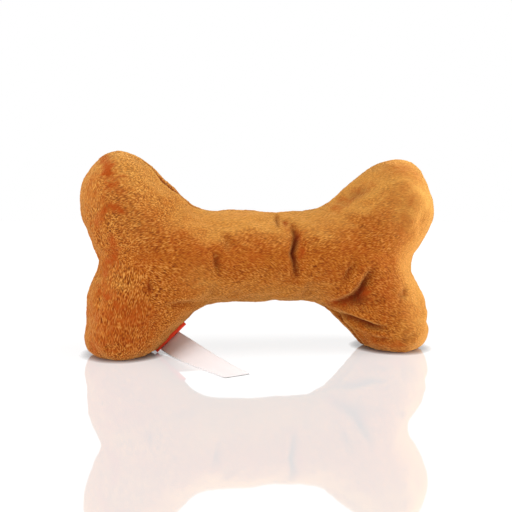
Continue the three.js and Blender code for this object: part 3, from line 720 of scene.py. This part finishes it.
BEND, END = seam_spot(3.6, -2.2), floor_spot(69, 0.2)
MIDDLE = [seam_spot(ROOT, 0.5), seam_spot(0, 0.5), seam_spot(2.5, 0.35), BEND]
SIDEWAYS = [ALONG, ALONG, ALONG, ALONG]
for share in (0.18, 0.36, 0.54, 0.72, 0.86, 1.0):
    spot = BEND + (END - BEND) * share
    spot[2] = END[2] + (BEND[2] - END[2]) * (1 - share) ** 1.5
    MIDDLE.append(spot)
    SIDEWAYS.append(ALONG + (FLAT - ALONG) * share ** 0.8)
MIDDLE = [spot - ALONG * 2.0 * (1 - k / 9) for k, spot in enumerate(MIDDLE)]


def lay_care_label(side, t):
    leaf = 1 - 2 * t
    depth = min(1 - abs(leaf), 0.985) / 0.985
    centre, cross = through(MIDDLE, depth), through(SIDEWAYS, depth)
    cross /= np.linalg.norm(cross)
    ahead = through(MIDDLE, min(depth + 0.01, 1)) - through(MIDDLE, max(depth - 0.01, 0))
    face = np.cross(ahead / np.linalg.norm(ahead), cross)
    gap = 0.08 * math.copysign(min(1, abs(leaf) / 0.015), leaf)
    spot = centre + cross * side - face * gap
    spot[2] = max(spot[2], 0.09 if gap < 0 else 0.25)
    return spot


care_label = ribbon("satin_care_label", *CARE_SIZE, CARE_THICK, lay_care_label)
print("care label", len(care_label.data.polygons), "faces")


# %% Red tab
def lay_red_tab(side, t):
    leg, bend = 4.0, 0.6
    total = 2 * leg + math.pi * bend
    s = t * total
    if s < leg:
        n, y = ROOT + s, -0.95 - 0.5 * ease(s, 2.2, leg)
    elif s > total - leg:
        n, y = ROOT + total - s, -0.25
    else:
        turn = (s - leg) / bend
        n, y = ROOT + leg + bend * math.sin(turn), -0.85 - bend * math.cos(turn)
    return SEAT + ALONG * side + OUT * n + np.array([0, y, 0])


red_tab = ribbon("red_woven_tab", *TAB_SIZE, TAB_THICK, lay_red_tab)
print("red tab", len(red_tab.data.polygons), "faces")

# %% [markdown]
# ## Cloth of the labels
# Both labels are woven: threads run along and across, and the product of two waves gives the small
# squares between them. Near its root each ribbon gets painted shade and light: the tab a dark band for the shade
# of the fold it comes out of, the white label a pink tint for the shade there and the red light that the tab
# throws on it.

# %% Label finishes
def woven_ribbon(name, colour, shade, painted_root_tint, reach, fold, thread, gloss):
    # threads of 0.15 to 0.2 mm are drawn 0.5 to 0.6 mm apart, coarser than they are, to stay visible
    finish, tree = new_finish(name)
    cloth = add(tree, "UVMap", uv_map="weave")
    # a wave texture repeats every 0.314 units at scale 1
    warp, weft = (add(tree, "TexWave", bands_direction=way,
                      wires={"Vector": cloth.outputs[0], "Scale": 0.314 / thread}) for way in "XY")
    both = add(tree, "Math", operation="MULTIPLY", wires={0: warp.outputs["Fac"], 1: weft.outputs["Fac"]})
    cloud = add(tree, "TexNoise", wires={"Vector": cloth.outputs[0], "Scale": 0.25})
    tint = add(tree, "Mix", data_type="RGBA",
               wires={0: cloud.outputs["Fac"], 6: ink(colour), 7: ink(shade)})
    thin = add(tree, "Mix", data_type="RGBA",
               wires={0: both.outputs[0], 6: ink(shade), 7: tint.outputs[2]})
    parts = add(tree, "SeparateXYZ", wires={0: cloth.outputs[0]})
    down = add(tree, "Math", operation="PINGPONG", wires={0: parts.outputs["Y"], 1: fold})
    out = add(tree, "MapRange", wires={"Value": down.outputs[0], "From Min": reach[0], "From Max": reach[1]})
    # painted shade and light near the root: dark on the tab, pink on the care label
    painted_root_mix = add(tree, "Mix", data_type="RGBA", wires={0: out.outputs[0], 6: ink(painted_root_tint), 7: thin.outputs[2]})
    rib = add(tree, "Bump", wires={"Height": both.outputs[0], "Strength": 0.3, "Distance": 0.1 * MM})
    body = add(tree, "BsdfPrincipled", wires={
        "Base Color": painted_root_mix.outputs[2], "Normal": rib.outputs[0], "Roughness": gloss,
        "Specular IOR Level": 0.3, "Sheen Weight": 0.15, "Sheen Roughness": 0.4})
    add(tree, "OutputMaterial", wires={"Surface": body.outputs[0]})
    return finish


# polyester_satin gives the eye a smooth white ribbon with a soft gleam
# red_woven_tape gives the eye a dull bright red edge against the caramel plush
# the care label's pink root is painted shade and painted red light from the tab; the tab's dark root is painted
# shade
care_label.data.materials.append(woven_ribbon("polyester_satin", "#F7F4F4", "#EDE8E8", "#FFD8CC",
                                              (6, 26), CARE_SIZE[1] / 2, 0.5, 0.42))
red_tab.data.materials.append(woven_ribbon("red_woven_tape", "#FF5226", "#F64014", "#7A160A",
                                           (1.5, 2.1), TAB_SIZE[1] / 2, 0.6, 0.6))
for piece, node, slot, flat in (
        (care_label, "care_label", "satin_label", (CARE_SIZE[0] * MM, CARE_SIZE[1] * MM)),
        (red_tab, "red_tab", "red_tape", (TAB_SIZE[0] * MM, TAB_SIZE[1] * MM))):
    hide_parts(node)
    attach(piece, "labels")
    print(piece.name, "takes the place of", node)

# %% [markdown]
# ## Filling and stitches
# The wads of fibre inside never show, but they are soft, so they get a body of their own: copies of
# the CAD wads, run together and drawn in a little under the skin. The opening on the upper left slope
# is closed by hand with short ladder stitches that sink into the pile.

# %% Fibre filling
WADS = [n for n in sorted(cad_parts) if n.startswith("stuffing")]
bm = bmesh.new()
for wad in WADS:
    bm.from_mesh(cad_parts[wad].data)
bmesh.ops.remove_doubles(bm, verts=bm.verts, dist=0.01 * MM)
filling = put(bm, "fibre_filling")
even = filling.modifiers.new("even", "REMESH")
even.mode, even.voxel_size = "VOXEL", 3.5 * MM
settle(filling)
fluff = points(filling.data)
wave = np.sin(fluff * [0.9, 1.1, 1.0]).sum(1)
DRAWN_IN, FLUFF = 2.9, 0.15  # mm
move_to(filling.data, fluff - normals(filling.data) * (DRAWN_IN + FLUFF * wave)[:, None])
filling.data.shade_smooth()
print("filling:", len(filling.data.polygons), "faces")

# %% Ladder stitches
skin_tree = BVHTree.FromPolygons([Vector(p) for p in points(skin.data)],
                                 [tuple(p.vertices) for p in skin.data.polygons])
SLOPE_SEAT, SLOPE_ALONG = np.array([-49.76, SEAM_Y, 93.26]), np.array([-0.719, 0, 0.695])
SLOPE_OUT = np.array([0.695, 0, 0.719])
STITCHES, PITCH = 8, 2.75  # how many, and mm from one to the next
bm = bmesh.new()
for k in range(STITCHES):
    spot = SLOPE_SEAT + SLOPE_ALONG * (k - (STITCHES - 1) / 2) * PITCH
    spot[1] -= float(seam_forward(spot[None])[0])
    made = bmesh.ops.create_uvsphere(bm, u_segments=8, v_segments=6, radius=0.3 * MM)["verts"]
    for vert in made:
        y = vert.co.z * 4.2 / MM
        foot = Vector(spot) + Vector(SLOPE_OUT) * 8 + Vector((0, y, 0))
        hit = skin_tree.ray_cast(foot, -Vector(SLOPE_OUT))[0]
        lean = Vector(SLOPE_ALONG) * (vert.co.x / MM + 0.25 * y)
        vert.co = (hit + lean + Vector(SLOPE_OUT) * (vert.co.y / MM + 0.05)) * MM
bmesh.ops.recalc_face_normals(bm, faces=bm.faces)
stitches = put(bm, "ladder_stitches")
stitches.data.shade_smooth()
print(STITCHES, "ladder stitches")

# %% [markdown]
# ## Small and hidden finishes
# Nothing inside the bone shows until it is opened, but each piece there still gets the finish of what
# it is made of: one speckled finish serves fibre, thread and plastic with its own colours and spots.

# %% Finishes of the small and hidden pieces
def speckled(name, colour, shade, spot, rough, **sockets):
    finish, tree = new_finish(name)
    where = add(tree, "TexCoord")
    grain = add(tree, "TexNoise", wires={"Vector": where.outputs["Object"], "Scale": 1 / (spot * MM),
                                         "Detail": 3.0})
    tint = add(tree, "Mix", data_type="RGBA",
               wires={0: grain.outputs["Fac"], 6: ink(colour), 7: ink(shade)})
    bump = add(tree, "Bump", wires={"Height": grain.outputs["Fac"], "Strength": 0.2, "Distance": 0.1 * MM})
    body = add(tree, "BsdfPrincipled", wires={"Base Color": tint.outputs[2], "Normal": bump.outputs[0],
                                              "Roughness": rough, **sockets})
    add(tree, "OutputMaterial", wires={"Surface": body.outputs[0]})
    return finish


# fibre: matt white fluff; thread: brown that sinks into the pile; blown: milky, half-matt wall;
# moulded: ivory plastic, a little glossier; film: clear, shiny sliver
fibre = speckled("polyester_fibre", "#F3F1EC", "#DAD6CE", 1.5, 0.95, **{"Sheen Weight": 0.4})
thread = speckled("polyester_thread", "#B9752F", "#8A4C1A", 0.4, 0.6, **{"Sheen Weight": 0.3})
blown = speckled("blown_polyethylene", "#F0EFEA", "#E2E1DA", 2.0, 0.45)
moulded = speckled("moulded_whistle_plastic", "#E8E2CE", "#DAD2BA", 1.5, 0.35)
film = speckled("reed_film", "#F4F6F8", "#E4E8EC", 1.0, 0.2)
for name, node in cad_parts.items():
    finish = (thread if "thread" in name else film if "reed" in name else moulded if "whistle" in name
              else blown if "squeaker" in name else fibre)
    node.data.materials.clear()
    node.data.materials.append(finish)
filling.data.materials.append(fibre)
stitches.data.materials.append(thread)
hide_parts(*WADS)
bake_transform(filling, "back_half", "front_half", start=(0, SEAM_Y * MM, 53.3 * MM), end=(0, -4 * MM, 53.3 * MM))
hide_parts("closing_thread")
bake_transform(stitches, "back_half", "front_half", start=(0, SEAM_Y * MM, 53.3 * MM), end=(0, -4 * MM, 53.3 * MM))
print("five finishes on", len(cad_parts), "nodes, the filling and the stitches")

# %% [markdown]
# ## The squeaker's wall
# The wall is blown polyethylene with folds like a concertina. Pressing the bone closes the folds; here
# the wall gets a copy of its own mesh that takes the place of the CAD wall and rides with the back half.

# %% Bellows
near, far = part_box("squeaker_bellows")
bellows = bpy.data.objects.new("folded_wall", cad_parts["squeaker_bellows"].data.copy())
scene.collection.objects.link(bellows)
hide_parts("squeaker_bellows")
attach(bellows, "back_half")
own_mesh(bellows)
print("wall", round((far.y - near.y) / MM, 1), "mm long")
